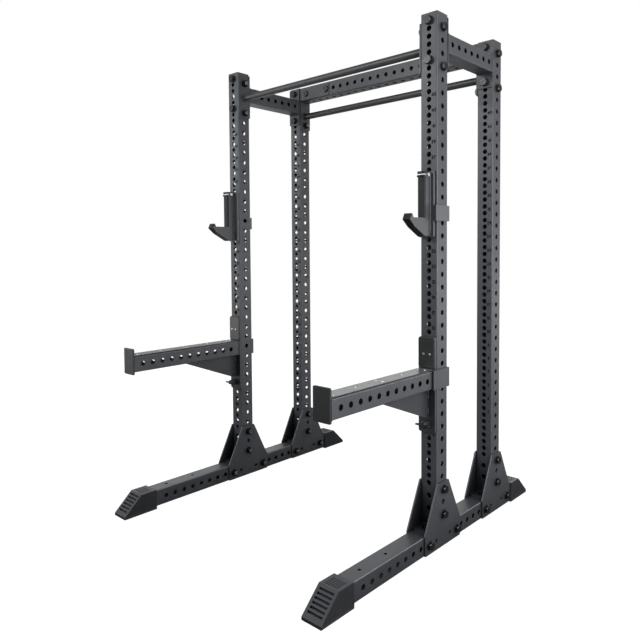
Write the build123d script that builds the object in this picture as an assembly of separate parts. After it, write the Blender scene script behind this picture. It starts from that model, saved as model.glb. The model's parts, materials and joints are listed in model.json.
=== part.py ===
from build123d import *
import os

os.makedirs("parts", exist_ok=True)

# ---------------------------------------------------------------- driving dimensions (mm)
# Frame: +Z up, floor at z = 0, +X to the user's right seen from the front,
# front of the cage towards -Y. Origin: centre of the footprint on the floor.
WIDTH_OUT = 1250.0          # outer face to outer face of the uprights
TUBE = 75.0                 # square section of uprights, base tubes and crossmembers
WALL = 3.0
TUBE_R = 5.0                # outer corner radius of the tubes
XC = WIDTH_OUT / 2 - TUBE / 2          # upright centre, +-X
X_OUT = WIDTH_OUT / 2                  # outer face
X_IN = WIDTH_OUT / 2 - TUBE            # inner face
Y_F = -21.5                 # front upright centre
DEPTH_CC = 450.0            # front to rear upright centres
Y_R = Y_F + DEPTH_CC
HT = TUBE / 2
YFF = Y_F - HT              # front face of the front uprights
Z_TOP = 2093.0              # top of the upright caps
CAP_RIM = 2.5
BASE_Z0 = 9.5               # underside of the base tubes
BASE_ZC = BASE_Z0 + HT
BASE_Z1 = BASE_Z0 + TUBE
FOOT_PLATE_T = 8.0
UP_Z0 = BASE_Z1 + FOOT_PLATE_T
UP_Z1 = Z_TOP - CAP_RIM

HOLE_D = 21.0
PITCH_FR = 30.0             # hole pitch on front and rear faces
N_FR = 61
PITCH_SIDE = 50.0           # hole pitch on the side faces
N_SIDE = 39
ZF0 = Z_TOP - 29.5          # first front hole
ZS0 = Z_TOP - 54.5          # first side hole
FR_Z = [ZF0 - PITCH_FR * i for i in range(N_FR)]
FR_Z += [FR_Z[-1] - 50.0, FR_Z[-1] - 100.0]
SIDE_Z = [ZS0 - PITCH_SIDE * j for j in range(N_SIDE)]

FOOT_L, FOOT_W, FOOT_H = 163.0, 87.0, 89.7
Y_TIP = 739.0               # foot tips, +-Y
FOOT_POCKET = 75.0          # depth of the foot's socket over the tube
Y_TUBE_END = Y_TIP - FOOT_L + FOOT_POCKET
ANCHOR_D = 14.0
ANCHOR_Y = [Y_F - 475.0, Y_F - 325.0]

GUSSET_T = 6.0
GUSSET_HALF_B, GUSSET_HALF_T = 130.0, 40.0
GUSSET_Z0, GUSSET_Z1, GUSSET_ZT = 10.0, 88.0, 268.0

FLANGE_T = 6.0
FLANGE_H = 200.0
CM_ZC = (FR_Z[0] + FR_Z[5]) / 2        # side crossmember axis
BAR_ZC = (SIDE_Z[0] + SIDE_Z[3]) / 2   # front pull-up bar axis
BAR_R, BAR_NECK_R, BAR_NECK_L = 16.0, 13.2, 72.0
RCM_ZC = 2053.5                        # rear crossmember axis
RBAR_ZC = 1938.0
RBAR_R = 16.4
RFLANGE_Z0, RFLANGE_Z1 = 1862.0, 2091.0

BOLT_R = 10.0               # M20
HEAD_AF, HEAD_H = 30.0, 12.5
NUT_H = 16.0
WASHER_R, WASHER_T = 17.2, 3.0

HOOK_ZP = SIDE_Z[14]        # hook side pin height
HOOK_TRAVEL = 100.0
ARM_ZP = SIDE_Z[27]         # arm side pin height
ARM_ZC = 681.0              # arm tube axis
ARM_S = 70.0                # arm tube section
ARM_L = 607.0
PIN_Z = FR_Z[52]            # pull pin height
PIN_TRAVEL = 12.0


# ---------------------------------------------------------------- helpers
def out(name, shape):
    shape.label = name
    export_step(shape, f"parts/{name}.step")


def group(solids):
    return Compound(children=list(solids))


def cyl_x(r, x0, x1, y, z):
    return Pos((x0 + x1) / 2, y, z) * Rot(0, 90, 0) * Cylinder(r, abs(x1 - x0))


def cyl_y(r, y0, y1, x, z):
    return Pos(x, (y0 + y1) / 2, z) * Rot(90, 0, 0) * Cylinder(r, abs(y1 - y0))


def cyl_z(r, z0, z1, x, y):
    return Pos(x, y, (z0 + z1) / 2) * Cylinder(r, abs(z1 - z0))


def box(x0, x1, y0, y1, z0, z1):
    return Pos((x0 + x1) / 2, (y0 + y1) / 2, (z0 + z1) / 2) * Box(abs(x1 - x0), abs(y1 - y0), abs(z1 - z0))


def rtube_profile(w, h, t, r):
    return RectangleRounded(w, h, r) - RectangleRounded(w - 2 * t, h - 2 * t, max(r - t, 1.5))


def tube_z(w, d, z0, z1, x, y, t=WALL, r=TUBE_R):
    return Pos(x, y, z0) * extrude(rtube_profile(w, d, t, r), z1 - z0)


def tube_y(w, h, y0, y1, x, z, t=WALL, r=TUBE_R):
    return Pos(x, y0, z) * Rot(-90, 0, 0) * extrude(rtube_profile(w, h, t, r), y1 - y0)


def tube_x(d, h, x0, x1, y, z, t=WALL, r=TUBE_R):
    return Pos(x0, y, z) * Rot(0, 90, 0) * extrude(rtube_profile(h, d, t, r), x1 - x0)


def plate_yz(pts, x0, x1, r=0.0):
    """Flat plate: polygon of (y, z) points, thickness x0..x1, corners rounded by r."""
    lo, hi = min(x0, x1), max(x0, x1)
    f = make_face(Polyline(*[(p[0], p[1]) for p in pts], close=True))
    if r:
        f = fillet(f.vertices(), r)
    s = extrude(Plane.YZ * f, hi - lo)
    return Pos(lo, 0, 0) * s


def plate_xz(x0, x1, z0, z1, y0, y1, r=0.0):
    """Flat plate in the XZ plane with rounded corners, thickness y0..y1."""
    lo, hi = min(y0, y1), max(y0, y1)
    f = RectangleRounded(abs(x1 - x0), abs(z1 - z0), r) if r else Rectangle(abs(x1 - x0), abs(z1 - z0))
    s = extrude(f, hi - lo)
    return Pos((x0 + x1) / 2, hi, (z0 + z1) / 2) * Rot(90, 0, 0) * s


def hexagon(af, h):
    return extrude(RegularPolygon(af / 2, 6, major_radius=False), h)


def chamfered_hex(af, h):
    """Hexagon with its outer corners turned off at the far end."""
    b = hexagon(af, h)
    c = Pos(0, 0, h / 2) * Cylinder(af / 2 * 1.155 + 1, h)
    cone = Cone(af / 2 * 1.155 + h * 0.9, af / 2 * 0.985 - 0.35, h * 1.0, align=(Align.CENTER, Align.CENTER, Align.MIN))
    return b & cone


def bolt(shank_len):
    """Hex bolt along +Z: washer face at z = 0, head below, shank above."""
    head = Pos(0, 0, 0) * Rot(180, 0, 0) * chamfered_hex(HEAD_AF, HEAD_H)
    sh = Pos(0, 0, shank_len / 2) * Cylinder(BOLT_R, shank_len)
    tip = fillet((sh.edges() | GeomType.CIRCLE).sort_by(Axis.Z)[-1], 1.2)
    return head + tip


def nut():
    """Hex nut along +Z with its bearing face at z = 0."""
    n = chamfered_hex(HEAD_AF, NUT_H)
    return n - Pos(0, 0, NUT_H / 2) * Cylinder(BOLT_R + 0.1, NUT_H + 2)


def washer():
    return (Pos(0, 0, WASHER_T / 2) * Cylinder(WASHER_R, WASHER_T)
            - Pos(0, 0, WASHER_T / 2) * Cylinder(BOLT_R + 0.6, WASHER_T + 2))


def mirror_x(s):
    return mirror(s, Plane.YZ)


# ---------------------------------------------------------------- uprights
up = tube_z(TUBE, TUBE, UP_Z0, UP_Z1, 0, 0)
up = up - [cyl_y(HOLE_D / 2, -60, 60, 0, z) for z in FR_Z]
up = up - [cyl_x(HOLE_D / 2, -60, 60, 0, z) for z in SIDE_Z]
for nm, sx, y in (("upright_front_right", 1, Y_F), ("upright_front_left", -1, Y_F),
                  ("upright_rear_right", 1, Y_R), ("upright_rear_left", -1, Y_R)):
    out(nm, Pos(sx * XC, y, 0) * up)

# plastic end caps pushed into the top of each upright
cap_top = extrude(RectangleRounded(TUBE, TUBE, TUBE_R), CAP_RIM)
cap_top = fillet(cap_top.faces().sort_by(Axis.Z)[-1].edges(), 1.2)
cap_plug = Pos(0, 0, -14) * extrude(RectangleRounded(TUBE - 2 * WALL - 0.4, TUBE - 2 * WALL - 0.4, 2), 14)
cap_plug = cap_plug - Pos(0, 0, -14) * extrude(RectangleRounded(TUBE - 2 * WALL - 6, TUBE - 2 * WALL - 6, 1.5), 12)
cap = cap_top + cap_plug
out("upright_caps", group([Pos(sx * XC, y, UP_Z1) * cap for sx in (1, -1) for y in (Y_F, Y_R)]))

# foot plate welded under each upright
fp = extrude(RectangleRounded(TUBE - 1.0, 200, 8), FOOT_PLATE_T)
fp = fp - [cyl_z(HOLE_D / 2, -5, 20, 0, s * 67.5) for s in (1, -1)]
out("upright_foot_plates", group([Pos(sx * XC, y, BASE_Z1) * fp for sx in (1, -1) for y in (Y_F, Y_R)]))

# ---------------------------------------------------------------- base tubes
base = tube_y(TUBE, TUBE, -Y_TUBE_END, Y_TUBE_END, 0, BASE_ZC)
base_hole_y = [Y_F - 500 + 50 * k for k in range(23)]
base_hole_y = [y for y in base_hole_y if abs(y - Y_F) > 1 and abs(y - Y_R) > 1]
base = base - [cyl_x(HOLE_D / 2, -60, 60, y, BASE_ZC) for y in base_hole_y]
base = base - [cyl_z(ANCHOR_D / 2, BASE_Z0 - 5, BASE_Z1 + 5, 0, y) for y in ANCHOR_Y]
base = base - [cyl_z(HOLE_D / 2, BASE_Z1 - 10, BASE_Z1 + 5, 0, yc + s * 67.5) for yc in (Y_F, Y_R) for s in (1, -1)]
out("base_tube_right", Pos(XC, 0, 0) * base)
out("base_tube_left", Pos(-XC, 0, 0) * base)

# ---------------------------------------------------------------- moulded end feet
# profile in (y, z), tip towards -Y, socket towards +Y; y = 0 at the tip
slope_y, tip_z = 84.0, 11.0
fpts = [(0, 0), (FOOT_L, 0), (FOOT_L, FOOT_H), (slope_y, FOOT_H), (0, tip_z)]
foot = Pos(-FOOT_W / 2, 0, 0) * extrude(Plane.YZ * make_face(Polyline(*fpts, close=True)), FOOT_W)
foot = fillet(foot.edges().filter_by(Axis.X).sort_by(Axis.Z)[-2:], 4.0)
foot = foot - box(-(TUBE / 2 + 0.2), TUBE / 2 + 0.2, FOOT_L - FOOT_POCKET, FOOT_L + 5, BASE_Z0 - 0.2, BASE_Z1 + 0.2)
# six grooves across the slope
import math
ang = math.degrees(math.atan2(FOOT_H - tip_z, slope_y))
for k in range(6):
    f = 0.20 + k * 0.135
    gy, gz = slope_y * f, tip_z + (FOOT_H - tip_z) * f
    g = Pos(0, gy, gz) * Rot(ang, 0, 0) * Box(66, 7.4, 17.0)
    foot = foot - g
# finer grooves across the top
for k in range(6):
    foot = foot - box(-31, 31, slope_y + 11 + k * 8.0, slope_y + 11 + k * 8.0 + 3.2, FOOT_H - 3.0, FOOT_H + 3)
foot_f = Pos(0, -Y_TIP, 0) * foot
foot_r = Rot(0, 0, 180) * foot_f
out("foot_front_right", Pos(XC, 0, 0) * foot_f)
out("foot_front_left", Pos(-XC, 0, 0) * foot_f)
out("foot_rear_right", Pos(XC, 0, 0) * foot_r)
out("foot_rear_left", Pos(-XC, 0, 0) * foot_r)

# ---------------------------------------------------------------- gusset plates
gz = [SIDE_Z[36], SIDE_Z[37], SIDE_Z[38]]


def gusset(yc):
    pts = [(yc - GUSSET_HALF_B, GUSSET_Z0), (yc + GUSSET_HALF_B, GUSSET_Z0), (yc + GUSSET_HALF_B, GUSSET_Z1),
           (yc + GUSSET_HALF_T, GUSSET_ZT), (yc - GUSSET_HALF_T, GUSSET_ZT), (yc - GUSSET_HALF_B, GUSSET_Z1)]
    g = plate_yz(pts, 0, GUSSET_T, 4.0)
    g = g - [cyl_x(HOLE_D / 2, -5, 15, yc, z) for z in gz]
    g = g - [cyl_x(HOLE_D / 2, -5, 15, yc + s * 100, BASE_ZC) for s in (1, -1)]
    g = g - [cyl_x(8.0, -5, 15, yc + s * 50, BASE_ZC) for s in (1, -1)]
    return g


for nm, yc in (("front", Y_F), ("rear", Y_R)):
    g = gusset(yc)
    out(f"gusset_{nm}_right_outer", Pos(X_OUT, 0, 0) * g)
    out(f"gusset_{nm}_right_inner", Pos(X_IN - GUSSET_T, 0, 0) * g)
    out(f"gusset_{nm}_left_outer", Pos(-X_OUT - GUSSET_T, 0, 0) * g)
    out(f"gusset_{nm}_left_inner", Pos(-X_IN, 0, 0) * g)

# ---------------------------------------------------------------- top side crossmembers
cy0, cy1 = Y_F + HT + FLANGE_T, Y_R - HT - FLANGE_T
cm = tube_y(TUBE, TUBE, cy0, cy1, 0, CM_ZC)
ymid = (Y_F + Y_R) / 2
cm = cm - [cyl_x(HOLE_D / 2, -60, 60, ymid + 50 * k, CM_ZC) for k in range(-3, 4)]
out("side_crossmember_right", Pos(XC, 0, 0) * cm)
out("side_crossmember_left", Pos(-XC, 0, 0) * cm)
cf = plate_xz(-HT, HT, CM_ZC - FLANGE_H / 2, CM_ZC + FLANGE_H / 2, 0, FLANGE_T, 9.0)
cf = cf - [cyl_y(HOLE_D / 2, -5, 15, 0, z) for z in (FR_Z[0], FR_Z[5])]
out("side_crossmember_flanges", group([Pos(sx * XC, y, 0) * cf for sx in (1, -1)
                                       for y in (Y_F + HT, Y_R - HT - FLANGE_T)]))

# ---------------------------------------------------------------- front pull-up bar
bx = X_IN - FLANGE_T
prof = [(0, 0), (0, BAR_NECK_R + 2.5), (4, BAR_NECK_R), (BAR_NECK_L, BAR_NECK_R), (BAR_NECK_L + 18, BAR_R),
        (2 * bx - 4, BAR_R), (2 * bx, BAR_R + 2.5), (2 * bx, 0)]
bar = revolve(Plane.XZ * make_face(Polyline(*prof, close=True)), Axis.X)
out("pullup_bar", Pos(-bx, Y_F, BAR_ZC) * bar)


def side_flange(yc, z0, z1, holes):
    pts = [(yc - HT, z0), (yc + HT, z0), (yc + HT, z1), (yc - HT, z1)]
    p = plate_yz(pts, 0, FLANGE_T, 9.0)
    return p - [cyl_x(HOLE_D / 2, -5, 15, yc, z) for z in holes]


ff = side_flange(Y_F, BAR_ZC - 99.5, BAR_ZC + 99.5, (SIDE_Z[0], SIDE_Z[3]))
out("pullup_bar_flanges", group([Pos(X_IN - FLANGE_T, 0, 0) * ff, Pos(-X_IN, 0, 0) * ff]))

# ---------------------------------------------------------------- rear crossmember with its bar
rcm = tube_x(TUBE, TUBE, -bx, bx, Y_R, RCM_ZC)
rx = [50.0 * k for k in range(-10, 11)]
rcm = rcm - [cyl_y(HOLE_D / 2, Y_R - 60, Y_R + 60, x, RCM_ZC) for x in rx]
rcm = rcm - [cyl_z(HOLE_D / 2, RCM_ZC - 60, RCM_ZC + 60, x + 25.0, Y_R) for x in rx[:-1]]
out("rear_crossmember", rcm)
rf = side_flange(Y_R, RFLANGE_Z0, RFLANGE_Z1, (SIDE_Z[0], SIDE_Z[3]))
out("rear_crossmember_flanges", group([Pos(X_IN - FLANGE_T, 0, 0) * rf, Pos(-X_IN, 0, 0) * rf]))
rprof = [(0, 0), (0, RBAR_R + 3), (4, RBAR_R), (2 * bx - 4, RBAR_R), (2 * bx, RBAR_R + 3), (2 * bx, 0)]
rbar = revolve(Plane.XZ * make_face(Polyline(*rprof, close=True)), Axis.X)
out("rear_pullup_bar", Pos(-bx, Y_R, RBAR_ZC) * rbar)

# blank sign plate on the rear crossmember's front face
sy = Y_R - HT
sp = plate_xz(-535, -329, RCM_ZC - 34, RCM_ZC + 34, sy - 3, sy, 8.0)
sp = sp - [cyl_y(HOLE_D / 2, sy - 10, sy + 5, x, RCM_ZC) for x in (-500, -350)]
out("sign_plate", sp)
sb = []
for x in (-500.0, -350.0):
    head = Pos(x, sy - 3, RCM_ZC) * Rot(90, 0, 0) * extrude(Circle(17), 8.0)
    head = fillet((head.edges() | GeomType.CIRCLE).sort_by(Axis.Y)[0], 4.5)
    head = head - Pos(x, sy - 3 - 8.0 + 2.2, RCM_ZC) * Rot(90, 0, 0) * extrude(RegularPolygon(6, 6), 8)
    sb.append(head + cyl_y(10, sy - 3, sy + 12, x, RCM_ZC))
out("sign_plate_bolts", group(sb))

# ---------------------------------------------------------------- hex fasteners
bolts, nuts, washers = [], [], []


def fasten(p, d, grip):
    """Bolt with its head at p, shank along d ('+x','-x','+y'), through `grip` of stack."""
    rot = {"+x": Rot(0, 90, 0), "-x": Rot(0, -90, 0), "+y": Rot(-90, 0, 0)}[d]
    L = Pos(*p) * rot
    bolts.append(L * Pos(0, 0, -WASHER_T) * bolt(grip + 2 * WASHER_T + NUT_H + 3))
    washers.append(L * Pos(0, 0, -WASHER_T) * washer())
    washers.append(L * Pos(0, 0, grip) * washer())
    nuts.append(L * Pos(0, 0, grip + WASHER_T) * nut())


for sx, d in ((1, "-x"), (-1, "+x")):
    for yc in (Y_F, Y_R):
        for z in (SIDE_Z[36], SIDE_Z[38]):
            fasten((sx * (X_OUT + GUSSET_T), yc, z), d, TUBE + 2 * GUSSET_T)
        for s in (1, -1):
            fasten((sx * (X_OUT + GUSSET_T), yc + 100 * s, BASE_ZC), d, TUBE + 2 * GUSSET_T)
        for z in (SIDE_Z[0], SIDE_Z[3]):
            fasten((sx * X_OUT, yc, z), d, TUBE + FLANGE_T)
    for z in (FR_Z[0], FR_Z[5]):
        fasten((sx * XC, Y_F - HT, z), "+y", TUBE + FLANGE_T)
        fasten((sx * XC, Y_R - HT - FLANGE_T, z), "+y", TUBE + FLANGE_T)
out("hex_bolts", group(bolts))
out("hex_nuts", group(nuts))
out("flat_washers", group(washers))

# ---------------------------------------------------------------- J-hooks (right one, then mirrored)
HG = 0.4                    # running gap to the upright
hy = YFF                    # upright front face
bp1 = hy - 2.4              # back plate rear face
bp0 = bp1 - 12.0            # back plate front face
hx0, hx1 = XC - 38.0, X_OUT - 8.0
bracket = plate_xz(hx0 + 1, hx1, 1233, 1486, bp0, bp1, 6.0)
bracket = bracket + box(X_OUT + 0.8, X_OUT + 5.8, bp0 - 1.5, Y_F + HT + 5.0, 1296, 1356)
bracket = bracket + box(X_OUT - 70, X_OUT + 5.8, Y_F + HT + 0.6, Y_F + HT + 5.0, 1296, 1356)
bracket = bracket + box(X_OUT - 70, X_OUT - 50, Y_F + HT + 4.0, Y_F + HT + 13.0, 1296, 1356)   # thick inner end
bracket = bracket + box(hx1 - 8, X_OUT + 0.8, bp0, bp1, 1296, 1356)
pin = cyl_x(9.0, X_OUT - 26, X_OUT + 0.8, Y_F, HOOK_ZP)
pin = chamfer((pin.edges() | GeomType.CIRCLE).sort_by(Axis.X)[0], 3.0)
bracket = bracket + pin

cx0, cx1 = XC - 14.0, XC + 17.0          # hook body
HOOK_BZ = 1471.5                         # cross bolt height
jp = [(bp0, 1480.5), (hy - 49, 1480.5), (hy - 49, 1306.5), (hy - 133, 1306.5), (hy - 141, 1316), (hy - 152, 1299),
      (hy - 123, 1274), (hy - 56, 1239.5), (hy - 46, 1238), (bp0, 1238)]
cheek_r = plate_yz(jp, cx1 - 6, cx1)
cheek_l = plate_yz(jp, cx0, cx0 + 6)
strap = [(bp0, 1238), (hy - 46, 1238), (hy - 56, 1239.5), (hy - 123, 1274), (hy - 152, 1299), (hy - 141, 1316),
         (hy - 135, 1309), (hy - 143, 1298.5), (hy - 119, 1280), (hy - 54, 1246.5), (hy - 45, 1244), (bp0, 1244)]
core = plate_yz(strap, cx0 + 6, cx1 - 6)
body = cheek_r + cheek_l + core
nose = box(cx0, cx1, hy - 59, hy - 43, 1468.5, 1474.5)   # steel nose bar across the top of the post
nose = fillet(nose.edges().filter_by(Axis.X).sort_by(Axis.Y)[:2], 2.0)
body = body + nose
body = body - cyl_x(6.2, cx0 - 5, cx1 + 5, hy - 33, HOOK_BZ)

# plastic liner on the front of the post, with a cap over its top and a strip along the saddle
ly1 = hy - 49
liner = box(cx0 + 0.5, cx1 - 0.5, ly1 - 9, ly1, 1300 + 6.5, 1465)
liner = fillet(liner.edges().filter_by(Axis.Z).sort_by(Axis.Y)[:2], 3.0)
lcap = box(cx0, cx1, ly1 - 10, ly1 + 24, 1480.5, 1484)
lcap = lcap + box(cx0, cx1, ly1 - 10, ly1 - 0.2, 1474.7, 1484)
lcap = fillet(lcap.edges().filter_by(Axis.X).sort_by(Axis.Y)[:2], 2.0)
lskirt = box(cx0 - 0.5, cx1 + 0.5, ly1 - 13, ly1 - 0.2, 1462, 1468.3)
lskirt = fillet(lskirt.edges().filter_by(Axis.X).sort_by(Axis.Y)[:2], 2.0)
# tongue that runs up between the cheeks, behind the nose bar, and carries the cap
lskirt = lskirt + box(cx0 + 6.3, cx1 - 6.3, ly1 - 1, ly1 + 9.4, 1454, 1462.1)
lskirt = lskirt + box(cx0 + 6.3, cx1 - 6.3, ly1 + 6.6, ly1 + 9.4, 1454, 1481.5)
saddle = box(cx0 + 6.2, cx1 - 6.2, hy - 132, ly1 - 4, 1300.5, 1306.5)
liner = liner + lcap + lskirt + (saddle + box(cx0 + 6.2, cx1 - 6.2, ly1 - 10, ly1 - 4, 1300.5, 1308))
# plastic cover over the lip and along the underside of the hook
lip_out = [(hy - 131.5, 1307.0), (hy - 138.5, 1320.5), (hy - 146, 1321), (hy - 158, 1298.5), (hy - 124.7, 1271.5),
           (hy - 56, 1235.6), (hy - 50.0, 1234.8), (hy - 49.0, 1238.1), (hy - 56.1, 1239.25),
           (hy - 123.1, 1273.8), (hy - 152.3, 1299), (hy - 141.05, 1316.4), (hy - 133.15, 1307.0)]
lip = plate_yz(lip_out, cx0 - 0.5, cx1 + 0.5)
# plastic sheet between back plate and upright
pad = plate_xz(hx0 + 1, hx1 - 0.5, 1233, 1486, bp1, hy - HG, 6.0)
# zinc cross bolt near the top of the post
hb = cyl_x(6.0, cx0 - 1, cx1 + 1, hy - 33, HOOK_BZ)
hh = Pos(cx1, hy - 33, HOOK_BZ) * Rot(0, 90, 0) * extrude(Circle(7.5), 6.0)
hh = fillet((hh.edges() | GeomType.CIRCLE).sort_by(Axis.X)[-1], 2.6)
hh = hh - Pos(cx1 + 3.0, hy - 33, HOOK_BZ) * Rot(0, 90, 0) * extrude(RegularPolygon(3.6, 6), 6)
hn = Pos(cx0, hy - 33, HOOK_BZ) * Rot(0, -90, 0) * extrude(Circle(7.5), 6.0)
hn = fillet((hn.edges() | GeomType.CIRCLE).sort_by(Axis.X)[0], 2.6)
hook_bolt = hb + hh + hn

for nm, s in (("j_hook_bracket", bracket), ("j_hook_body", body), ("j_hook_liner", liner), ("j_hook_lip_cover", lip),
              ("j_hook_back_pad", pad), ("j_hook_bolt", hook_bolt)):
    out(nm + "_right", s)
    out(nm + "_left", mirror_x(s))

# ---------------------------------------------------------------- spotter arms (right one, then mirrored)
ax0, ax1 = XC - 40.5, XC + 34.5
ab1 = hy - 2.5              # back plate rear face, a plastic sheet behind it
ab0 = ab1 - 8.0             # back plate front face
az0, az1 = 467.0, 844.0
abr = plate_xz(ax0, ax1, az0, az1, ab0, ab1, 9.0)
abr = abr + box(ax1 - 9, X_OUT, ab0, ab1, 643.5, 719)
abr = abr + box(X_OUT, X_OUT + 6, hy - 33, Y_F + HT + 6, 643.5, 719)
abr = abr + box(X_OUT - 70, X_OUT + 6, Y_F + HT, Y_F + HT + 6, 643.5, 719)
abr = abr + box(X_OUT - 70, X_OUT - 50, Y_F + HT + 5, Y_F + HT + 14, 643.5, 719)   # thick inner end
apin = cyl_x(9.0, X_OUT - 28, X_OUT, Y_F, ARM_ZP)
apin = chamfer((apin.edges() | GeomType.CIRCLE).sort_by(Axis.X)[0], 3.0)
abr = abr + apin
abr = abr - cyl_y(8.6, hy - 20, hy + 2, XC, PIN_Z)
# gusset under the arm, welded to the back plate
az_b = ARM_ZC - ARM_S / 2
gpts = [(ab0, az_b), (hy - 326, az_b), (hy - 320, az_b - 5), (hy - 44, 536), (hy - 34, 533), (ab0, 533)]
agus = plate_yz(gpts, XC - 4, XC + 4)
abr = abr + agus

ay0 = hy - 8 - ARM_L
arm = tube_y(ARM_S, ARM_S, ay0, ab0, XC, ARM_ZC)
arm = arm - [cyl_x(11.0, XC - 50, XC + 50, hy - 63.5 - 50.6 * k, ARM_ZC + 0.5) for k in range(11)]
endp = plate_xz(XC - 40, XC + 35, 635.5, 752, ay0 - 8, ay0, 5.0)
endp = chamfer(endp.faces().sort_by(Axis.Y)[0].edges(), 1.0)

strip_z = ARM_ZC + ARM_S / 2
STRIP_T = 5.5
strip = box(XC - 33.5, XC + 33.5, ay0 + 3, ab0 - 5.5, strip_z, strip_z + STRIP_T)
strip = fillet(strip.edges().filter_by(Axis.Y).sort_by(Axis.Z)[-2:], 1.2)
bl = plate_xz(ax0 + 1.5, ax1 - 1.0, strip_z + STRIP_T + 2.0, az1 - 2, ab0 - 5, ab0, 8.0)
bl = chamfer(bl.faces().sort_by(Axis.Y)[0].edges(), 1.2)
bsheet = plate_xz(ax0 + 0.5, ax1 - 0.5, PIN_Z + 26, az1 - 0.5, ab1, hy, 8.0)      # sheet between back plate and upright
bl = group([bl, bsheet])

screw_xy = [(XC + 15, hy - 586), (XC - 15, hy - 586), (XC, hy - 454), (XC + 15, hy - 322), (XC - 15, hy - 322),
            (XC, hy - 186), (XC + 15, hy - 52), (XC - 15, hy - 52)]
SCR = 4.2
screws = []


def screw_z(x, y, z):
    h = Pos(x, y, z) * extrude(Circle(SCR), 1.6)
    h = fillet((h.edges() | GeomType.CIRCLE).sort_by(Axis.Z)[-1], 0.9)
    return h - Pos(x, y, z + 0.8) * extrude(RegularPolygon(1.7, 6), 3)


def screw_y(x, y, z):
    h = Pos(x, y, z) * Rot(90, 0, 0) * extrude(Circle(SCR), 1.6)
    h = fillet((h.edges() | GeomType.CIRCLE).sort_by(Axis.Y)[0], 0.9)
    return h - Pos(x, y - 0.8, z) * Rot(90, 0, 0) * extrude(RegularPolygon(1.7, 6), 3)


for x, y in screw_xy:
    screws.append(screw_z(x, y, strip_z + STRIP_T))
for dx in (-14.5, 14.5):
    screws.append(screw_y(XC + dx, ab0 - 5, 778))
screws += [mirror_x(s) for s in screws]
out("liner_screws", group(screws))

# spring pull pin at the foot of the back plate
barrel = cyl_y(15.0, ab0 - 26, ab0, XC, PIN_Z)
barrel = chamfer((barrel.edges() | GeomType.CIRCLE).sort_by(Axis.Y)[0], 2.0)
barrel = barrel - cyl_y(12.0, ab0 - 23, ab0 + 1, XC, PIN_Z) - cyl_y(8.4, ab0 - 30, ab0, XC, PIN_Z)
plunger = cyl_y(8.0, ab0 - 34, hy + 9, XC, PIN_Z)
plunger = chamfer((plunger.edges() | GeomType.CIRCLE).sort_by(Axis.Y)[-1], 2.0)
plunger = plunger + cyl_y(11.5, ab0 - 3.6, ab0 - 0.6, XC, PIN_Z)
hub = Pos(XC, ab0 - 26.4, PIN_Z) * Rot(90, 0, 0) * Cone(12.5, 9.5, 12, align=(Align.CENTER, Align.CENTER, Align.MIN))
tbar = Pos(XC, ab0 - 34.0, PIN_Z) * extrude(SlotOverall(66, 15), 2.6, both=True)
tbar = fillet(tbar.faces().sort_by(Axis.Z)[-1].edges() + tbar.faces().sort_by(Axis.Z)[0].edges(), 1.0)
plunger = plunger + hub + tbar
# coil spring, drawn at the length it has with the pin pulled right out
coil_path = Helix(pitch=5.0 / 3, height=5.0, radius=10.2)
coil = sweep(Plane(origin=coil_path @ 0, z_dir=coil_path % 0) * Circle(0.8), path=coil_path)
spr = [Pos(sgn * XC, ab0 - 16.7, PIN_Z) * Rot(90, 0, 0) * coil for sgn in (1, -1)]
for nm, s in (("spotter_arm_bracket", abr), ("spotter_arm_tube", arm), ("spotter_arm_end_plate", endp),
              ("spotter_arm_top_liner", strip), ("spotter_arm_back_liner", bl), ("pull_pin", plunger)):
    out(nm + "_right", s)
    out(nm + "_left", mirror_x(s))
out("plunger_barrels", group([barrel, mirror_x(barrel)]))
out("plunger_springs", group(spr))
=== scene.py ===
import json
import math

import bpy
from mathutils import Matrix, Vector


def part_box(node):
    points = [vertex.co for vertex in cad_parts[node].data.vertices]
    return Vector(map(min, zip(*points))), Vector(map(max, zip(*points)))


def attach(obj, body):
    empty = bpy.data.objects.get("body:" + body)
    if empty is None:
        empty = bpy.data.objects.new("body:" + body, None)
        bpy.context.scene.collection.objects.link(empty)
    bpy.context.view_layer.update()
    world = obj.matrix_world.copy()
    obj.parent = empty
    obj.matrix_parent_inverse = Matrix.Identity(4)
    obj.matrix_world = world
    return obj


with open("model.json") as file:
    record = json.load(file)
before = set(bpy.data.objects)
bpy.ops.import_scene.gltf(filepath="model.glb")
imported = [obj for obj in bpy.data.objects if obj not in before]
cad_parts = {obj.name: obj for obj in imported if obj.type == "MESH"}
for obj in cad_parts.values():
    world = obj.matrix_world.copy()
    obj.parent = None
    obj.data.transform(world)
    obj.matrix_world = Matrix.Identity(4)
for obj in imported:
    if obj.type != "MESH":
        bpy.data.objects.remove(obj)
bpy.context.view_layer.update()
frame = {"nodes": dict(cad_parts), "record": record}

NODES = frame["nodes"]
scene = bpy.context.scene

# ------------------------------------------------------------------ sizes repeated from the construction, metres
XC, X_OUT, X_IN = 0.5875, 0.625, 0.550
Y_F, Y_R, HT = -0.0215, 0.4285, 0.0375
YFF = Y_F - HT
ZF0, PITCH = 2.0635, 0.030
RACK = "rack"


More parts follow.
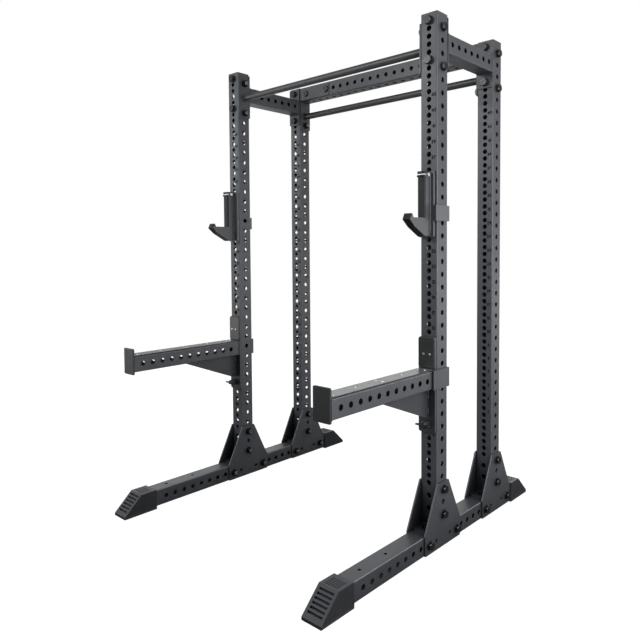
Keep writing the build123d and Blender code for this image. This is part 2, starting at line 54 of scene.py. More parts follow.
# ------------------------------------------------------------------ camera
def set_camera():
    yaw, pitch, roll = 0.7448, 0.04336, -0.007228
    fwd = Vector((-math.sin(yaw) * math.cos(pitch), math.cos(yaw) * math.cos(pitch), -math.sin(pitch)))
    r = Vector((math.cos(yaw), math.sin(yaw), 0.0))
    u = r.cross(fwd)
    r2 = math.cos(roll) * r + math.sin(roll) * u
    u2 = -math.sin(roll) * r + math.cos(roll) * u
    data = bpy.data.cameras.new("camera")
    data.sensor_fit = "HORIZONTAL"
    data.sensor_width = 36.0
    data.lens = 616.16 * 36.0 / 640.0
    data.shift_x = 0.0
    data.shift_y = (275.53 - 320.0) / 640.0
    data.clip_start, data.clip_end = 0.05, 100.0
    cam = bpy.data.objects.new("camera", data)
    scene.collection.objects.link(cam)
    m = Matrix((r2, u2, -fwd)).transposed().to_4x4()
    m.translation = Vector((1.90313, -2.11266, 1.19147))
    cam.matrix_world = m
    scene.camera = cam


set_camera()


# ------------------------------------------------------------------ light and floor
def area(name, pos, aim, sx, sy, power, colour=(1, 1, 1)):
    d = bpy.data.lights.new(name, "AREA")
    d.shape = "RECTANGLE"
    d.size, d.size_y = sx, sy
    d.energy = power
    d.color = colour
    o = bpy.data.objects.new(name, d)
    scene.collection.objects.link(o)
    o.location = pos
    o.rotation_euler = (Vector(aim) - Vector(pos)).to_track_quat("-Z", "Y").to_euler()
    return o


LIGHTS = [
    ("key_right", (2.1, -0.8, 1.6), (0.6, 0.0, 1.2), 0.9, 1.6, 12.6),
    ("right", (4.2, -0.2, 1.5), (0.5, 0.0, 1.2), 1.8, 1.8, 64.0),
    ("right_low", (3.2, 0.6, 0.45), (0.6, 0.2, 0.3), 1.2, 0.6, 4.0),
    ("front_high", (-1.0, -2.7, 2.6), (0.5, 0.0, 1.8), 1.0, 0.7, 20.5, (0.96, 1.0, 1.02)),
    ("left_high", (-3.1, -2.2, 2.15), (-0.6, 0.2, 1.65), 1.0, 0.42, 10.0, (0.86, 1.0, 1.06)),
    ("front_left_high", (-2.4, -3.0, 3.1), (0.2, 0.0, 1.5), 2.0, 1.2, 10.3),
    ("front_left_low", (-3.6, -2.6, 0.7), (-0.4, 0.0, 0.9), 2.4, 1.0, 16.5),
    ("left_low", (-3.0, 1.2, 0.5), (0.0, 0.0, 1.5), 1.8, 0.8, 8.5),
    ("right_rear_mid", (2.9, 2.3, 1.2), (0.6, 0.0, 1.1), 1.2, 0.8, 7.6),
    ("right_rear_low", (2.4, 3.0, 0.55), (0.5, 0.0, 0.8), 2.0, 0.9, 8.0),
    ("back_left", (-2.6, 3.4, 1.6), (0.0, 0.2, 0.9), 3.0, 2.6, 13.0),
    ("rear_fill", (-0.5, 4.6, 1.9), (-0.2, 0.4, 1.1), 1.0, 2.0, 44.0),
    ("left_fill", (-4.2, 0.1, 2.1), (-0.6, 0.2, 1.2), 0.8, 1.2, 28.0),
]
for spec in LIGHTS:
    area(*spec)

WORLD_LIGHT, WORLD_GLOSS = 0.004, 0.43
world = bpy.data.worlds.new("studio")
scene.world = world
world.use_nodes = True
wn, wl = world.node_tree.nodes, world.node_tree.links
wn.clear()
w_out = wn.new("ShaderNodeOutputWorld")
w_mix = wn.new("ShaderNodeMixShader")
w_path = wn.new("ShaderNodeLightPath")
w_amb = wn.new("ShaderNodeBackground")
w_amb.inputs["Color"].default_value = (1, 1, 1, 1)
w_span = wn.new("ShaderNodeMapRange")
w_span.name = "ambient"
w_span.inputs["To Min"].default_value = WORLD_LIGHT
w_span.inputs["To Max"].default_value = WORLD_GLOSS
wl.new(w_path.outputs["Is Glossy Ray"], w_span.inputs["Value"])
wl.new(w_span.outputs["Result"], w_amb.inputs["Strength"])
w_cam = wn.new("ShaderNodeBackground")
w_cam.inputs["Color"].default_value = (1, 1, 1, 1)
w_cam.inputs["Strength"].default_value = 1.0
wl.new(w_path.outputs["Is Camera Ray"], w_mix.inputs["Fac"])
wl.new(w_amb.outputs["Background"], w_mix.inputs[1])
wl.new(w_cam.outputs["Background"], w_mix.inputs[2])
wl.new(w_mix.outputs["Shader"], w_out.inputs["Surface"])

scene.view_settings.view_transform = "Standard"
scene.view_settings.look = "None"
scene.view_settings.exposure = 0.0
scene.view_settings.gamma = 1.0

FLOOR_GLOW, FLOOR_SEEN, FLOOR_GLOSS = 0.004, 1.0, 0.02


def make_floor():
    me = bpy.data.meshes.new("floor")
    s = 14.0
    me.from_pydata([(-s, -s, 0), (s, -s, 0), (s, s, 0), (-s, s, 0)], [], [(0, 1, 2, 3)])
    o = bpy.data.objects.new("floor", me)
    scene.collection.objects.link(o)
    o.location.z = -0.0004
    m = bpy.data.materials.new("floor_pale")
    m.use_nodes = True
    b = m.node_tree.nodes["Principled BSDF"]
    b.inputs["Base Color"].default_value = (0.20, 0.20, 0.20, 1)
    b.inputs["Roughness"].default_value = 0.9
    b.inputs["Specular IOR Level"].default_value = 0.0
    b.inputs["Emission Color"].default_value = (1, 1, 1, 1)
    path = m.node_tree.nodes.new("ShaderNodeLightPath")
    span = m.node_tree.nodes.new("ShaderNodeMapRange")
    span.inputs["To Min"].default_value = FLOOR_GLOW
    span.inputs["To Max"].default_value = FLOOR_SEEN
    m.node_tree.links.new(path.outputs["Is Camera Ray"], span.inputs["Value"])
    gloss = m.node_tree.nodes.new("ShaderNodeMapRange")
    gloss.name = "gloss"
    gloss.inputs["To Min"].default_value = 0.0
    gloss.inputs["To Max"].default_value = FLOOR_GLOSS
    m.node_tree.links.new(path.outputs["Is Glossy Ray"], gloss.inputs["Value"])
    both = m.node_tree.nodes.new("ShaderNodeMath")
    both.operation = "ADD"
    m.node_tree.links.new(span.outputs["Result"], both.inputs[0])
    m.node_tree.links.new(gloss.outputs["Result"], both.inputs[1])
    m.node_tree.links.new(both.outputs["Value"], b.inputs["Emission Strength"])
    me.materials.append(m)
    return o


make_floor()


# ------------------------------------------------------------------ materials
class Graph:
    """Small helper around one material's node tree."""

    def __init__(self, name):
        self.m = bpy.data.materials.new(name)
        self.m.use_nodes = True
        self.n = self.m.node_tree.nodes
        self.l = self.m.node_tree.links
        self.b = self.n["Principled BSDF"]
        self.tc = self.n.new("ShaderNodeTexCoord")

    def noise(self, scale, detail=4.0, rough=0.6, stretch=None, kind="ShaderNodeTexNoise"):
        t = self.n.new(kind)
        t.inputs["Scale"].default_value = scale
        if "Detail" in t.inputs:
            t.inputs["Detail"].default_value = detail
            t.inputs["Roughness"].default_value = rough
        if stretch:
            mp = self.n.new("ShaderNodeMapping")
            mp.inputs["Scale"].default_value = stretch
            self.l.new(self.tc.outputs["Object"], mp.inputs["Vector"])
            self.l.new(mp.outputs["Vector"], t.inputs["Vector"])
        else:
            self.l.new(self.tc.outputs["Object"], t.inputs["Vector"])
        return t.outputs["Fac"] if "Fac" in t.outputs else t.outputs["Distance"]

    def ramp(self, fac, stops):
        r = self.n.new("ShaderNodeValToRGB")
        els = r.color_ramp.elements
        els[0].position, els[0].color = stops[0][0], (*stops[0][1], 1)
        els[1].position, els[1].color = stops[1][0], (*stops[1][1], 1)
        for p, c in stops[2:]:
            e = els.new(p)
            e.color = (*c, 1)
        self.l.new(fac, r.inputs["Fac"])
        return r.outputs["Color"]

    def span(self, fac, lo, hi, a=0.3, b=0.7):
        r = self.n.new("ShaderNodeMapRange")
        r.inputs["From Min"].default_value, r.inputs["From Max"].default_value = a, b
        r.inputs["To Min"].default_value, r.inputs["To Max"].default_value = lo, hi
        self.l.new(fac, r.inputs["Value"])
        return r.outputs["Result"]

    def mix(self, fac, a, b, mode="MIX"):
        x = self.n.new("ShaderNodeMix")
        x.data_type = "RGBA"
        x.blend_type = mode
        f = x.inputs[0]
        ia, ib = x.inputs[6], x.inputs[7]
        for s, v in ((f, fac), (ia, a), (ib, b)):
            if isinstance(v, (int, float)):
                s.default_value = v if s.type == "VALUE" else (v, v, v, 1)
            elif isinstance(v, tuple):
                s.default_value = (*v, 1)
            else:
                self.l.new(v, s)
        return x.outputs[2]

    def bump(self, height, strength, dist, chain=None):
        b = self.n.new("ShaderNodeBump")
        b.inputs["Strength"].default_value = strength
        b.inputs["Distance"].default_value = dist
        self.l.new(height, b.inputs["Height"])
        if chain is not None:
            self.l.new(chain, b.inputs["Normal"])
        return b.outputs["Normal"]

    def edge(self, radius):
        """Mask that rises along sharp outer edges, from the rounded against the true normal."""
        bv = self.n.new("ShaderNodeBevel")
        bv.samples = 4
        bv.inputs["Radius"].default_value = radius
        g = self.n.new("ShaderNodeNewGeometry")
        d = self.n.new("ShaderNodeVectorMath")
        d.operation = "DOT_PRODUCT"
        self.l.new(bv.outputs["Normal"], d.inputs[0])
        self.l.new(g.outputs["Normal"], d.inputs[1])
        r = self.n.new("ShaderNodeMapRange")
        r.inputs["From Min"].default_value, r.inputs["From Max"].default_value = 0.97, 0.80
        r.inputs["To Min"].default_value, r.inputs["To Max"].default_value = 0.0, 1.0
        self.l.new(d.outputs["Value"], r.inputs["Value"])
        return r.outputs["Result"]

    def turned(self):
        """Mask that rises on rounded corners and slanted edges, where no axis is square to the face."""
        g = self.n.new("ShaderNodeNewGeometry")
        a = self.n.new("ShaderNodeVectorMath")
        a.operation = "ABSOLUTE"
        self.l.new(g.outputs["Normal"], a.inputs[0])
        d = self.n.new("ShaderNodeSeparateXYZ")
        self.l.new(a.outputs["Vector"], d.inputs["Vector"])
        top = None
        for ax in ("X", "Y", "Z"):
            if top is None:
                top = d.outputs[ax]
                continue
            m = self.n.new("ShaderNodeMath")
            m.operation = "MAXIMUM"
            self.l.new(top, m.inputs[0])
            self.l.new(d.outputs[ax], m.inputs[1])
            top = m.outputs["Value"]
        return self.span(top, 1.0, 0.0, 0.80, 0.97)

    def nook(self, reach):
        """Mask that rises where other faces stand close by."""
        a = self.n.new("ShaderNodeAmbientOcclusion")
        a.samples = 6
        a.inputs["Distance"].default_value = reach
        return self.span(a.outputs["AO"], 1.0, 0.0, 0.25, 0.95)

    def upward(self):
        """Mask that is 1 on faces that look straight up."""
        g = self.n.new("ShaderNodeNewGeometry")
        d = self.n.new("ShaderNodeSeparateXYZ")
        self.l.new(g.outputs["True Normal"], d.inputs["Vector"])
        return self.span(d.outputs["Z"], 0.0, 1.0, 0.90, 0.97)

    def raised(self):
        """Mask that rises on faces that lean upward."""
        g = self.n.new("ShaderNodeNewGeometry")
        d = self.n.new("ShaderNodeSeparateXYZ")
        self.l.new(g.outputs["Normal"], d.inputs["Vector"])
        return self.span(d.outputs["Z"], 0.0, 1.0, 0.35, 0.6)

    def inboard(self, x):
        """Mask that is 1 where the piece lies nearer the middle plane than x."""
        d = self.n.new("ShaderNodeSeparateXYZ")
        self.l.new(self.tc.outputs["Object"], d.inputs["Vector"])
        a = self.n.new("ShaderNodeMath")
        a.operation = "ABSOLUTE"
        self.l.new(d.outputs["X"], a.inputs[0])
        m = self.n.new("ShaderNodeMath")
        m.operation = "LESS_THAN"
        self.l.new(a.outputs["Value"], m.inputs[0])
        m.inputs[1].default_value = x
        return m.outputs["Value"]

    def band(self, lo, hi):
        """Mask that is 1 inside a box given in the piece's own coordinates."""
        d = self.n.new("ShaderNodeSeparateXYZ")
        self.l.new(self.tc.outputs["Object"], d.inputs["Vector"])
        out = None
        for ax, a, b in (("Y", lo[0], hi[0]), ("Z", lo[1], hi[1])):
            for op, v in (("GREATER_THAN", a), ("LESS_THAN", b)):
                m = self.n.new("ShaderNodeMath")
                m.operation = op
                self.l.new(d.outputs[ax], m.inputs[0])
                m.inputs[1].default_value = v
                if out is None:
                    out = m.outputs["Value"]
                else:
                    k = self.n.new("ShaderNodeMath")
                    k.operation = "MULTIPLY"
                    self.l.new(out, k.inputs[0])
                    self.l.new(m.outputs["Value"], k.inputs[1])
                    out = k.outputs["Value"]
        return out


def scaled(c, k):
    return tuple(min(1.0, v * k) for v in c)


def coat(name, base, rough=(0.36, 0.48), grain=1400.0, bump=0.22, edge_wear_and_highlight=0.6, bare=None, nook=0.85, shade=None):
    """Satin powder coat: fine orange peel, faint cloudy tone, lightly rubbed edges that are also a painted highlight,
    painted highlights on rounded corners, painted shade in corners and an optional painted shadow box.
    """
    g = Graph(name)
    fine = g.noise(grain, 3.0, 0.55)
    cloud = g.noise(7.0, 5.0, 0.6)
    speck = g.noise(grain * 0.45, 2.0, 0.5)
    c = g.ramp(cloud, [(0.30, scaled(base, 0.93)), (0.72, scaled(base, 1.06))])
    c = g.mix(g.span(speck, 0.0, 0.30, 0.45, 0.75), c, scaled(base, 1.22))
    if edge_wear_and_highlight:
        # Edges lightened along a scuff noise: partly rubbed paint, partly a painted highlight.
        edge_rub_and_highlight = g.noise(60.0, 6.0, 0.7)
        m = g.n.new("ShaderNodeMath")
        m.operation = "MULTIPLY"
        g.l.new(g.edge(0.0016), m.inputs[0])
        g.l.new(g.span(edge_rub_and_highlight, 0.15 * edge_wear_and_highlight, edge_wear_and_highlight, 0.35, 0.65), m.inputs[1])
        c = g.mix(m.outputs["Value"], c, scaled(base, 2.6))
        # Painted highlight: rounded corners and slanted faces are lightened.
        c = g.mix(g.span(g.turned(), 0.0, 0.6, 0.0, 1.0), c, scaled(base, 1.9))
        # Painted highlight: rounded edges that lean upward are lightened most, as if catching light from above.
        rim = g.n.new("ShaderNodeMath")
        rim.operation = "MULTIPLY"
        g.l.new(g.turned(), rim.inputs[0])
        g.l.new(g.raised(), rim.inputs[1])
        c = g.mix(g.span(rim.outputs["Value"], 0.0, 0.8, 0.0, 1.0), c, scaled(base, 3.6))
    # Painted shade: base colour darkened where other faces stand close (ambient occlusion), in corners, joints and near
    # the floor.
    if nook:
        c = g.mix(g.span(g.nook(0.36), 0.0, nook, 0.0, 1.0), c, scaled(base, 0.12))
    # Painted shadow: base colour darkened inside a box given in the piece's coordinates.
    if shade:
        c = g.mix(g.span(g.band(*shade), 0.0, 0.38, 0.0, 1.0), c, scaled(base, 0.10))
    if bare:
        k = g.band(*bare)
        c = g.mix(k, c, (0.70, 0.70, 0.69))
        g.l.new(k, g.b.inputs["Metallic"])
    g.l.new(c, g.b.inputs["Base Color"])
    g.l.new(g.span(cloud, rough[0], rough[1]), g.b.inputs["Roughness"])
    g.l.new(g.bump(fine, bump, 0.00025), g.b.inputs["Normal"])
    g.b.inputs["Specular IOR Level"].default_value = 0.65
    return g.m


def moulded(name, base, rough=(0.5, 0.65), grain=2200.0, bump=0.25, scuffs=0.0, spec=0.5, top=None, nook=0.0, upslope_painted_light=0.0, rim=0.0012):
    """Moulded plastic or rubber: fine spark-eroded grain, faint tone, a few pale scuffs, painted highlights on edges;
    optionally a painted sheen on top faces, painted light on upward-leaning faces and in recesses.
    """
    g = Graph(name)
    fine = g.noise(grain, 2.0, 0.5)
    cloud = g.noise(14.0, 4.0, 0.6)
    c = g.ramp(cloud, [(0.3, scaled(base, 0.9)), (0.72, scaled(base, 1.1))])
    if scuffs:
        streak = g.noise(40.0, 5.0, 0.65, stretch=(1.0, 1.0, 0.12))
        c = g.mix(g.span(streak, 0.0, scuffs, 0.52, 0.72), c, scaled(base, 3.0))
    # Painted sheen: faces that look straight up get a lighter colour.
    if top:
        top_sheen_tone = g.noise(9.0, 5.0, 0.6, stretch=(1.0, 0.35, 1.0))
        c = g.mix(g.upward(), c, g.ramp(top_sheen_tone, [(0.3, scaled(top, 0.85)), (0.7, scaled(top, 1.1))]))
    # Painted light: faces that lean upward are lightened.
    if upslope_painted_light:
        c = g.mix(g.raised(), c, g.ramp(cloud, [(0.3, scaled(base, upslope_painted_light * 0.92)), (0.72, scaled(base, upslope_painted_light * 1.08))]))
    # Painted highlight: sharp edges lightened.
    e = g.edge(rim)
    c = g.mix(g.span(e, 0.0, 0.45, 0.0, 1.0), c, scaled(base, 4.0))
    r = g.span(cloud, rough[0], rough[1])
    # Painted light in recesses: grooves and crevices are lightened against their shade, and roughened.
    if nook:
        k = g.span(g.nook(0.020), 0.0, nook, 0.10, 0.60)
        c = g.mix(k, c, scaled(base, 1.9))
        r = g.mix(k, r, 1.0)
    g.l.new(c, g.b.inputs["Base Color"])
    g.l.new(r, g.b.inputs["Roughness"])
    g.l.new(g.bump(fine, bump, 0.0002), g.b.inputs["Normal"])
    g.b.inputs["Specular IOR Level"].default_value = spec
    return g.m


def arm_liner(name, front, back, y_split):
    """Grey plastic sheet on the front of a plate and a black one behind it."""
    g = Graph(name)
    fine = g.noise(1800.0, 2.0, 0.5)
    cloud = g.noise(12.0, 4.0, 0.6)
    d = g.n.new("ShaderNodeSeparateXYZ")
    g.l.new(g.tc.outputs["Object"], d.inputs["Vector"])
    m = g.n.new("ShaderNodeMath")
    m.operation = "GREATER_THAN"
    g.l.new(d.outputs["Y"], m.inputs[0])
    m.inputs[1].default_value = y_split
    c = g.ramp(cloud, [(0.3, scaled(front, 0.9)), (0.72, scaled(front, 1.1))])
    c = g.mix(m.outputs["Value"], c, back)
    # Painted highlight: sharp edges of the grey sheet lightened.
    c = g.mix(g.span(g.edge(0.0012), 0.0, 0.3, 0.0, 1.0), c, scaled(front, 1.8))
    g.l.new(c, g.b.inputs["Base Color"])
    g.l.new(g.span(cloud, 0.28, 0.38), g.b.inputs["Roughness"])
    g.l.new(g.bump(fine, 0.25, 0.0002), g.b.inputs["Normal"])
    g.b.inputs["Specular IOR Level"].default_value = 0.8
    return g.m


def plated(name, base, rough=(0.2, 0.35), metallic=1.0, grain=700.0, glint=1.9, rim=0.0009, tip=None):
    """Plated or oxidised steel: fine turning marks, slight blotching, painted glints on the edges."""
    g = Graph(name)
    brush = g.noise(grain, 2.0, 0.5, stretch=(0.25, 1.0, 1.0))
    cloud = g.noise(45.0, 4.0, 0.6)
    c = g.ramp(cloud, [(0.28, scaled(base, 0.82)), (0.72, scaled(base, 1.12))])
    # Painted glint: sharp edges lightened by the glint factor.
    e = g.edge(rim)
    c = g.mix(g.span(e, 0.0, 0.5, 0.0, 1.0), c, scaled(base, glint))
    # Bolt ends inboard of the uprights turn lighter grey: partly the bare steel end, partly a painted glint.
    if tip:
        c = g.mix(g.inboard(0.552), c, tip)
    g.l.new(c, g.b.inputs["Base Color"])
    g.l.new(g.span(cloud, rough[0], rough[1]), g.b.inputs["Roughness"])
    g.l.new(g.bump(brush, 0.12, 0.00012), g.b.inputs["Normal"])
    g.b.inputs["Metallic"].default_value = metallic
    return g.m


M = {
    "charcoal_coat": coat("charcoal_powder_coat", (0.089, 0.095, 0.107)),
    "bar_coat": coat("bar_powder_coat", (0.084, 0.085, 0.088), rough=(0.34, 0.45), edge_wear_and_highlight=0.0),
    # Foot: painted light on its upward slope and in its grooves, painted highlights on its edges.
    "foot_rubber": moulded("foot_moulding", (0.037, 0.038, 0.042), rough=(0.40, 0.52), grain=1500.0, bump=0.35, spec=0.25, nook=0.90, upslope_painted_light=2.8, rim=0.0020),
    "cap_plastic": moulded("cap_moulding", (0.075, 0.077, 0.080), rough=(0.45, 0.6)),
    "liner_plastic": moulded("black_liner", (0.011, 0.011, 0.012), rough=(0.42, 0.56), scuffs=0.06, spec=0.4),
    # The strip's lighter top colour is a painted sheen.
    "strip_plastic": moulded("grey_liner", (0.030, 0.030, 0.031), rough=(0.22, 0.30), bump=0.08, scuffs=0.05, spec=0.85, top=(0.212, 0.214, 0.216)),
    "dark_fastener": plated("black_oxide_steel", (0.042, 0.042, 0.042), rough=(0.24, 0.34), metallic=0.75, glint=14.0, rim=0.0013),
    "zinc_steel": plated("zinc_plate", (0.86, 0.86, 0.85), rough=(0.28, 0.42)),
    "black_steel": coat("satin_black_steel", (0.020, 0.020, 0.021), rough=(0.34, 0.45), edge_wear_and_highlight=0.3),
}
PRINT = moulded("number_print", (0.004, 0.004, 0.0045), rough=(0.6, 0.7), grain=900.0, spec=0.15)

slot_of = {s["node"]: s["material_slot"] for s in frame["record"]["subparts"]}
hook_own = NODES["j_hook_body_right"].matrix_world.translation
HOOK_COAT = coat("charcoal_coat_hook", (0.089, 0.095, 0.107),
                 bare=((YFF - 0.0595 - hook_own.y, 1.4683 - hook_own.z), (YFF - 0.0492 - hook_own.y, 1.4747 - hook_own.z)))
ARM_LINER = arm_liner("arm_back_liner", (0.027, 0.028, 0.030), (0.012, 0.012, 0.013), YFF - 0.005)
BOLT = plated("black_oxide_bolt", (0.042, 0.042, 0.042), rough=(0.24, 0.34), metallic=0.75, glint=14.0, rim=0.0013, tip=(0.26, 0.26, 0.26))
NUT = plated("black_oxide_nut", (0.024, 0.024, 0.024), rough=(0.20, 0.30), metallic=0.75, glint=9.0, rim=0.0010)
WASHER = coat("coated_washer", (0.060, 0.063, 0.069), edge_wear_and_highlight=0.3)
# Painted light: the hook brackets get a lighter copy of the charcoal coat.
BRACKET_COAT = coat("hook_bracket_coat", (0.130, 0.138, 0.152))
# Painted shadow on the bracket's front faces below the arm tube.
ARM_COAT = coat("arm_bracket_coat", (0.089, 0.095, 0.107), shade=((-2.0, 0.0), (YFF - 0.0100, 0.6435)))
END_COAT = coat("end_plate_coat", (0.035, 0.036, 0.038), edge_wear_and_highlight=0.3)
WELD = coat("coated_weld", (0.100, 0.108, 0.118), rough=(0.20, 0.30), edge_wear_and_highlight=0.0)
for name, obj in NODES.items():
    mat = M[slot_of[name]]
    if name.startswith("j_hook_body"):
        mat = HOOK_COAT
    elif name.startswith("spotter_arm_back_liner"):
        mat = ARM_LINER
    elif name.startswith("spotter_arm_end_plate"):
        mat = END_COAT
    elif name.startswith("spotter_arm_bracket"):
        mat = ARM_COAT
    elif name == "hex_bolts":
        mat = BOLT
    elif name == "hex_nuts":
        mat = NUT
    elif name == "flat_washers":
        mat = WASHER
    elif name == "sign_plate_bolts":
        mat = M["black_steel"]
    elif name.startswith("j_hook_bracket"):
        mat = BRACKET_COAT
    obj.data.materials.clear()
    obj.data.materials.append(mat)


# ------------------------------------------------------------------ softened plate edges
def soften(node, width):
    o = NODES[node]
    w = o.modifiers.new("join", "WELD")
    w.merge_threshold = 0.00001
    b = o.modifiers.new("soft_edges", "BEVEL")
    b.width = width
    b.segments = 2
    b.limit_method = "ANGLE"
    b.angle_limit = math.radians(40)
    b.harden_normals = True


SOFT = {"gusset_": 0.0009, "side_crossmember_flanges": 0.0008, "rear_crossmember_flanges": 0.0008, "pullup_bar_flanges": 0.0008,
        "spotter_arm_bracket": 0.0009, "spotter_arm_end": 0.0009, "j_hook_bracket": 0.0009, "j_hook_body": 0.0008, "j_hook_lip_cover": 0.0007,
        "foot_": 0.0010, "upright_foot_plates": 0.0008, "sign_plate": 0.0006}
for name in NODES:
    for key, width in SOFT.items():
        if name.startswith(key):
            soften(name, width)


# ------------------------------------------------------------------ added pieces
def add_mesh(name, verts, faces, mat, body, smooth=False):
    me = bpy.data.meshes.new(name)
    me.from_pydata([tuple(v) for v in verts], [], faces)
    me.update()
    me.materials.append(mat)
    if smooth:
        for p in me.polygons:
            p.use_smooth = True
    o = bpy.data.objects.new(name, me)
    scene.collection.objects.link(o)
    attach(o, body)
    return o


def digit_meshes(size):
    """Flat outline of each digit, lying in the XY plane with its lower left corner at the origin."""
    out = {}
    for ch in "0123456789":
        cu = bpy.data.curves.new("digit_" + ch, "FONT")
        cu.body = ch
        cu.size = size
        cu.extrude = 0.00006
        cu.offset = 0.0009
        cu.resolution_u = 4
        ob = bpy.data.objects.new("digit_" + ch, cu)
        scene.collection.objects.link(ob)
        bpy.context.view_layer.update()
        me = bpy.data.meshes.new_from_object(ob.evaluated_get(bpy.context.evaluated_depsgraph_get()))
        vs = [v.co.copy() for v in me.vertices]
        fs = [tuple(p.vertices) for p in me.polygons]
        x0 = min(v.x for v in vs)
        w = max(v.x for v in vs) - x0
        for v in vs:
            v.x -= x0
        out[ch] = (vs, fs, w)
        bpy.data.objects.remove(ob)
        bpy.data.curves.remove(cu)
        bpy.data.meshes.remove(me)
    return out


def hole_numbers():
    digs = digit_meshes(0.0178)
    gap = 0.0014
    for side, sx in (("right", 1), ("left", -1)):
        for end, yc in (("front", Y_F), ("rear", Y_R)):
            verts, faces = [], []
            for k in range(9, 54, 2):
                z = ZF0 - PITCH * k - 0.0135
                text = str(54 - k)
                total = sum(digs[c][2] for c in text) + gap * (len(text) - 1)
                x = sx * XC + 0.0215 - total / 2
                for c in text:
                    vs, fs, w = digs[c]
                    n0 = len(verts)
                    for v in vs:
                        verts.append((x + v.x, yc - HT - 0.00012 - v.z, z - 0.0062 + v.y))
                    faces += [tuple(n0 + i for i in f) for f in fs]
                    x += w + gap
            add_mesh(f"hole_numbers_{end}_{side}", verts, faces, PRINT, RACK)


hole_numbers()


def bead(name, runs, r, mat, body=RACK):
    """Rippled weld beads. runs: list of (points, closed); a bead is a tube of radius r sunk half way into the joint."""
    verts, faces = [], []
    step, seg = 0.0014, 8
    for pts, closed in runs:
        pts = [Vector(p) for p in pts]
        path = []
        n = len(pts) if closed else len(pts) - 1
        for i in range(n):
            a, b = pts[i], pts[(i + 1) % len(pts)]
            k = max(1, int(round((b - a).length / step)))
            path += [a.lerp(b, j / k) for j in range(k)]
        if not closed:
            path.append(pts[-1])
        m = len(path)
        base = len(verts)
        for i, p in enumerate(path):
            q0 = path[(i - 1) % m] if closed or i > 0 else path[i]
            q1 = path[(i + 1) % m] if closed or i < m - 1 else path[i]
            t = (q1 - q0).normalized()
            ref = Vector((0, 0, 1)) if abs(t.z) < 0.7 else Vector((1, 0, 0))
            e1 = t.cross(ref).normalized()
            e2 = t.cross(e1).normalized()
            rr = r * (1.0 + 0.13 * math.sin(i * 1.9) + 0.05 * math.sin(i * 0.37 + 1.3))
            if not closed:
                rr *= min(1.0, 0.35 + 0.16 * min(i, m - 1 - i))
            for j in range(seg):
                a = 2 * math.pi * j / seg
                verts.append(p + rr * (math.cos(a) * e1 + math.sin(a) * e2))
        rings = m if closed else m - 1
        for i in range(rings):
            i2 = (i + 1) % m
            for j in range(seg):
                j2 = (j + 1) % seg
                faces.append((base + i * seg + j, base + i * seg + j2, base + i2 * seg + j2, base + i2 * seg + j))
        if not closed:
            faces.append(tuple(base + j for j in range(seg)))
            faces.append(tuple(base + (m - 1) * seg + seg - 1 - j for j in range(seg)))
    return add_mesh(name, verts, faces, mat, body, smooth=True)


def ring(c, axis, r, n=40):
    """Points of a circle about an axis given as 'x' or 'y'."""
    out = []
    for i in range(n):
        a = 2 * math.pi * i / n
        if axis == "x":
            out.append((c[0], c[1] + r * math.cos(a), c[2] + r * math.sin(a)))
        else:
            out.append((c[0] + r * math.cos(a), c[1], c[2] + r * math.sin(a)))
    return out


def rect(c, axis, h1, h2, cr=0.005):
    """Rounded rectangle of half sizes h1, h2 about a point, normal to axis."""
    pts = []
    for cx, cy, a0 in ((h1 - cr, h2 - cr, 0), (-h1 + cr, h2 - cr, 90), (-h1 + cr, -h2 + cr, 180), (h1 - cr, -h2 + cr, 270)):
        for k in range(4):
            a = math.radians(a0 + 30 * k)
            pts.append((cx + cr * math.cos(a), cy + cr * math.sin(a)))
    if axis == "x":
        return [(c[0], c[1] + p, c[2] + q) for p, q in pts]
    if axis == "y":
        return [(c[0] + p, c[1], c[2] + q) for p, q in pts]
    return [(c[0] + p, c[1] + q, c[2]) for p, q in pts]


def box_mid(node):
    lo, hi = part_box(node)
    return lo, hi, (lo + hi) / 2


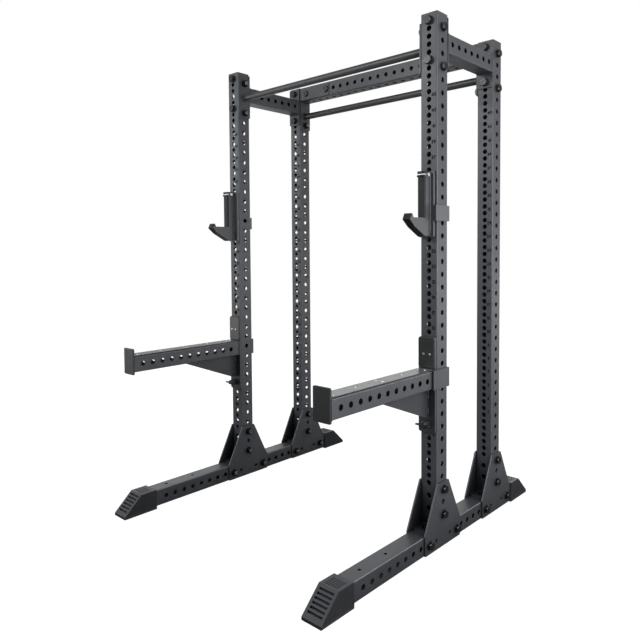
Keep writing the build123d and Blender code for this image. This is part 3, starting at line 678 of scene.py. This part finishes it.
def welds():
    coat_m = WELD
    runs = []
    for side in ("right", "left"):
        lo, hi, mid = box_mid(f"side_crossmember_{side}")
        for y in (lo.y, hi.y):
            runs.append((rect((mid.x, y + (0.0007 if y == lo.y else -0.0007), mid.z), "y", (hi.x - lo.x) / 2, (hi.z - lo.z) / 2), True))
    lo, hi, mid = box_mid("rear_crossmember")
    for x in (lo.x, hi.x):
        runs.append((rect((x + (0.0007 if x == lo.x else -0.0007), mid.y, mid.z), "x", (hi.y - lo.y) / 2 - 0.0018, (hi.z - lo.z) / 2 - 0.0018), True))
    bead("weld_crossmembers", runs, 0.0030, coat_m)
    runs = []
    for sx in (1, -1):
        for yc in (Y_F, Y_R):
            runs.append((rect((sx * XC, yc, 0.0930), "z", HT, HT), True))
    bead("weld_upright_feet", runs, 0.0032, coat_m)
    runs = []
    for node in ("pullup_bar", "rear_pullup_bar"):
        lo, hi, mid = box_mid(node)
        for x, s in ((lo.x, 1), (hi.x, -1)):
            r = (hi.z - lo.z) / 2
            if node == "pullup_bar":
                r = 0.0152 if s == 1 else 0.0180
            runs.append((ring((x + s * 0.0007, mid.y, mid.z), "x", r), True))
    bead("weld_bars", runs, 0.0024, M["bar_coat"])
    for side, sx in (("right", 1), ("left", -1)):
        lo, hi, mid = box_mid(f"spotter_arm_tube_{side}")
        runs = [(rect((mid.x, hi.y - 0.0008, mid.z), "y", 0.035, 0.035), True),
                (rect((mid.x, lo.y + 0.0008, mid.z), "y", 0.035, 0.035), True)]
        yb = YFF - 0.0105
        for dx in (-0.004, 0.004):
            for z0, z1 in ((0.600, 0.638), (0.540, 0.566)):
                runs.append((((mid.x + dx, yb - 0.0006, z0), (mid.x + dx, yb - 0.0006, z1)), False))
            for y0, y1 in ((YFF - 0.060, YFF - 0.0125), (YFF - 0.200, YFF - 0.150), (YFF - 0.312, YFF - 0.270)):
                runs.append((((mid.x + dx, y0, lo.z - 0.0006), (mid.x + dx, y1, lo.z - 0.0006)), False))
        bead(f"weld_spotter_arm_{side}", runs, 0.0028, coat_m)
    for side in ("right", "left"):
        lo, hi, mid = box_mid(f"j_hook_body_{side}")
        runs = [(((x, hi.y - 0.0006, 1.246), (x, hi.y - 0.0006, 1.470)), False) for x in (lo.x + 0.0004, hi.x - 0.0004)]
        bead(f"weld_j_hook_{side}", runs, 0.0026, coat_m, f"j_hook_{side}")


welds()
